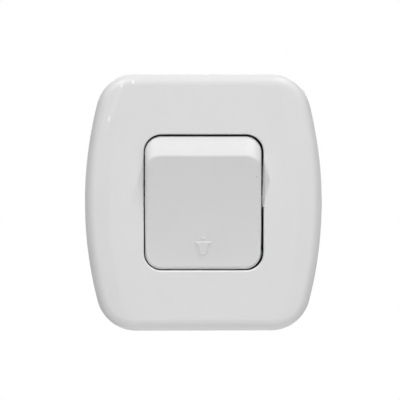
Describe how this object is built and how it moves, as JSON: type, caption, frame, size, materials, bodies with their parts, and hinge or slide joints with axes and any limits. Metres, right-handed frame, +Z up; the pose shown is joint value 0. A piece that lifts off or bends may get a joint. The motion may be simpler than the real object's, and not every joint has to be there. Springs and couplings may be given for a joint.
{
  "type": "doorbell push button",
  "caption": "Wall-mounted doorbell push: a rocker key in the window of a rounded clip-on cover, over a screwed-down base with a spring-return contact mechanism.",
  "frame": {"origin": "middle of the base's back face, on the wall, half-way between the two screw slots", "axes": "+X to the right seen from the front, +Y into the wall (the push faces -Y), +Z up"},
  "size_m": [0.06, 0.0207, 0.065],
  "materials": {
    "cover_plastic": "white moulded plastic, glossy",
    "key_plastic": "white moulded plastic, satin gloss",
    "base_plastic": "white moulded plastic, matt",
    "body_plastic": "dark grey moulded plastic, matt",
    "brass": "rolled and stamped",
    "silver_tip": "silver alloy",
    "zinc_steel": "zinc plated",
    "spring_steel": "drawn wire"
  },
  "bodies": {
    "housing": {"cover": "cover_plastic", "base": "base_plastic", "mechanism_body": "body_plastic", "mechanism_screws": "zinc_steel", "terminal_screws": "zinc_steel", "terminal_nuts": "zinc_steel", "return_spring": "spring_steel", "fixed_contact_left": "brass", "fixed_contact_right": "brass", "clamp_plate_left": "zinc_steel", "clamp_plate_right": "zinc_steel", "fixed_tip_left": "silver_tip", "fixed_tip_right": "silver_tip"},
    "key": {"rocker_key": "key_plastic", "contact_bridge": "brass", "bridge_retainer": "spring_steel", "contact_spring": "spring_steel", "moving_tip_left": "silver_tip", "moving_tip_right": "silver_tip"}
  },
  "joints": [
    {"name": "key_rock", "type": "hinge", "parent": "housing", "child": "key", "pos_m": [0, -0.013, 0], "axis": [-1, 0, 0], "range_deg": [0, 7], "stiffness_Nm_per_rad": 0.15, "springref_deg": -8.02, "deforming": ["return_spring"]}
  ]
}
